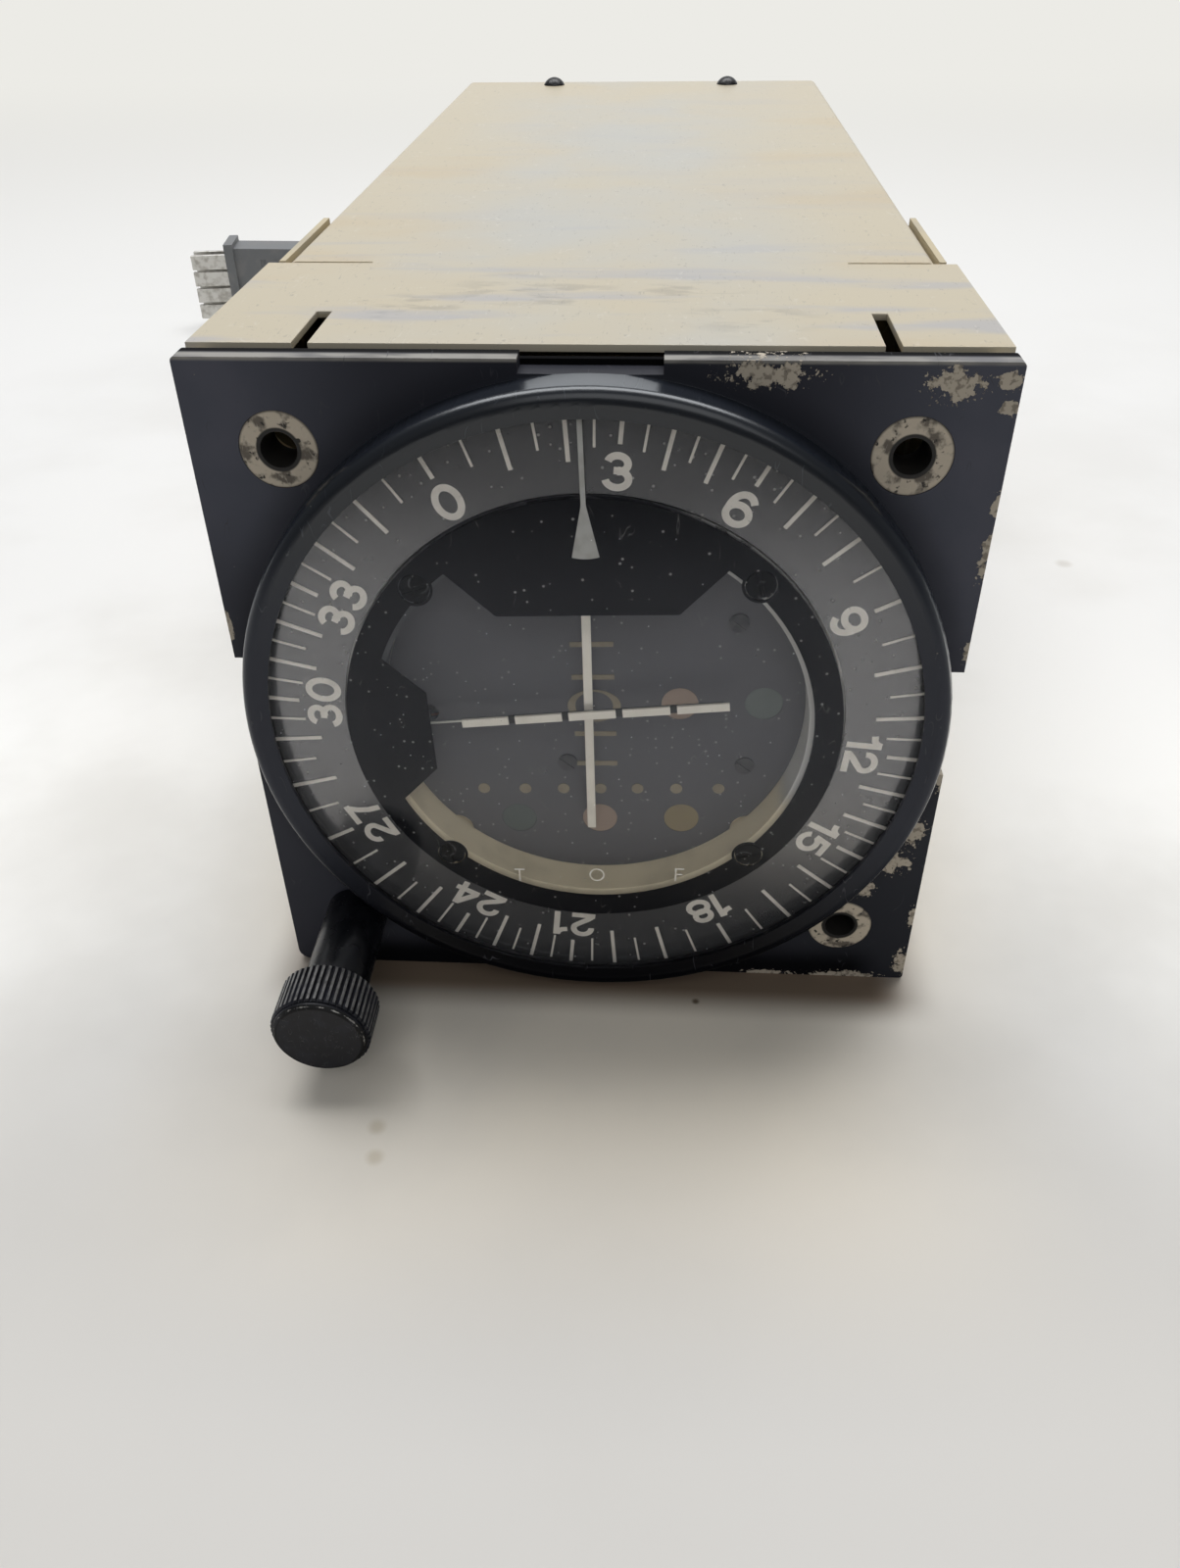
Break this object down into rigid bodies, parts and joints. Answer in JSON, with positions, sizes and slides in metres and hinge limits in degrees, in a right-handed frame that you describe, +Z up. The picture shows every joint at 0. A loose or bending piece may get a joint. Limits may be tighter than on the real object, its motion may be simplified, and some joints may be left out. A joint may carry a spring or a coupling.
{
  "type": "navigation indicator",
  "caption": "Aircraft course and glideslope indicator: black bezel with round glass, turning course card, crossed needles, ribbed knob, long chromated case and a rear plug on a harness.",
  "frame": {"origin": "centre of the square flange's front face, on the axis of the round bezel ring", "axes": "+X right as seen by the pilot, +Y from the flange into the case, +Z up; the case's lower face is at -40.65 mm"},
  "size_m": [0.1864, 0.3212, 0.0827],
  "materials": {
    "black_enamel": "semi-matt enamel, chipped at edges",
    "bare_eyelet": "dull bare metal",
    "glass": "clear flat glass",
    "black_steel": "black oxide",
    "index_print": "thin grey print",
    "clear_acrylic": "clear acrylic",
    "mask_print": "matt black print",
    "card_paint": "matt grey",
    "mark_print": "worn light grey print",
    "bare_aluminium": "machined",
    "bearing_bronze": "oiled",
    "meter_case": "khaki finish",
    "zinc_screw": "zinc plated",
    "face_paint": "matt dark grey",
    "face_print": "aged print",
    "amber_lens": "dark filter",
    "green_lens": "dark filter",
    "bulb_glass": "clear",
    "circuit_green": "laminate",
    "needle_white": "matt white",
    "needle_black": "matt black",
    "coil_copper": "enamelled wire",
    "magnet_steel": "ground",
    "knob_aluminium": "black anodised, worn crests",
    "sleeve_black": "glossy black",
    "shaft_steel": "ground",
    "gear_brass": "cut teeth",
    "sensor_case": "moulded",
    "chromate_sheet": "yellow chromate, smudged",
    "inner_chromate": "yellow chromate",
    "circuit_brown": "laminate",
    "capacitor_sleeve": "sleeved can",
    "transformer_steel": "tinned can",
    "rubber_black": "matt",
    "lead_jacket": "matt sleeve",
    "plug_moulding": "moulded",
    "plug_metal": "tinned"
  },
  "bodies": {
    "case": {"bezel": "black_enamel", "mounting_eyelets": "bare_eyelet", "glass_lens": "glass", "lens_snap_ring": "black_steel", "index_mark": "index_print", "window_disc": "clear_acrylic", "window_mask": "mask_print", "mask_screws": "black_steel", "thrust_washer": "bearing_bronze", "meter_housing": "meter_case", "meter_screws": "zinc_screw", "meter_face": "face_paint", "face_screws": "black_steel", "face_marks": "face_print", "amber_lenses": "amber_lens", "green_lenses": "green_lens", "lamp_bulbs": "bulb_glass", "lamp_board": "circuit_green", "course_magnet": "magnet_steel", "slope_magnet": "magnet_steel", "knob_sleeve": "sleeve_black", "rear_bearing": "bearing_bronze", "sensor_body": "sensor_case", "sensor_nut": "zinc_screw", "front_frame": "inner_chromate", "gear_bulkhead": "inner_chromate", "rear_bulkhead": "inner_chromate", "side_rails": "inner_chromate", "frame_screws": "zinc_screw", "top_cover": "chromate_sheet", "bottom_cover": "chromate_sheet", "rear_plate": "chromate_sheet", "cover_screws": "black_steel", "converter_board": "circuit_brown", "board_capacitors": "capacitor_sleeve", "board_transformers": "transformer_steel", "board_transistors": "transformer_steel", "board_posts": "bare_aluminium", "harness_grommet": "rubber_black", "harness_lead": "lead_jacket", "plug_body": "plug_moulding", "plug_blades": "plug_metal", "plug_clamp": "plug_moulding"},
    "card": {"course_card": "card_paint", "card_marks": "mark_print", "card_gear": "bare_aluminium"},
    "knob": {"course_knob": "knob_aluminium", "knob_cap": "knob_aluminium", "knob_set_screw": "black_steel", "knob_shaft": "shaft_steel", "card_pinion": "gear_brass", "sensor_pinion": "gear_brass", "shaft_clip": "black_steel"},
    "sensor": {"sensor_shaft": "shaft_steel", "sensor_gear": "bare_aluminium"},
    "course_pointer": {"course_needle": "needle_white", "course_coil": "coil_copper"},
    "slope_pointer": {"slope_arm": "needle_black", "slope_needle_bars": "needle_white", "slope_coil": "coil_copper"}
  },
  "joints": [
    {"name": "card_turn", "type": "hinge", "parent": "case", "child": "card", "pos_m": [0, 0, 0], "axis": [0, 1, 0], "continuous": true},
    {"name": "knob_turn", "type": "hinge", "parent": "case", "child": "knob", "pos_m": [-0.03143, 0, -0.03143], "axis": [0, 1, 0], "continuous": true},
    {"name": "sensor_turn", "type": "hinge", "parent": "case", "child": "sensor", "pos_m": [-0.01048, 0, -0.01048], "axis": [0, 1, 0], "continuous": true},
    {"name": "course_pointer_swing", "type": "hinge", "parent": "case", "child": "course_pointer", "pos_m": [-0.00088, 0, 0.01968], "axis": [0, 1, 0], "range_deg": [-24, 24], "stiffness_Nm_per_rad": 0.0003},
    {"name": "slope_pointer_swing", "type": "hinge", "parent": "case", "child": "slope_pointer", "pos_m": [-0.01966, 0, -0.00128], "axis": [0, 1, 0], "range_deg": [-20, 28], "stiffness_Nm_per_rad": 0.0003}
  ],
  "couplings": [
    {"joint": "knob_turn", "follows": "card_turn", "ratio": -6},
    {"joint": "sensor_turn", "follows": "card_turn", "ratio": 1}
  ]
}
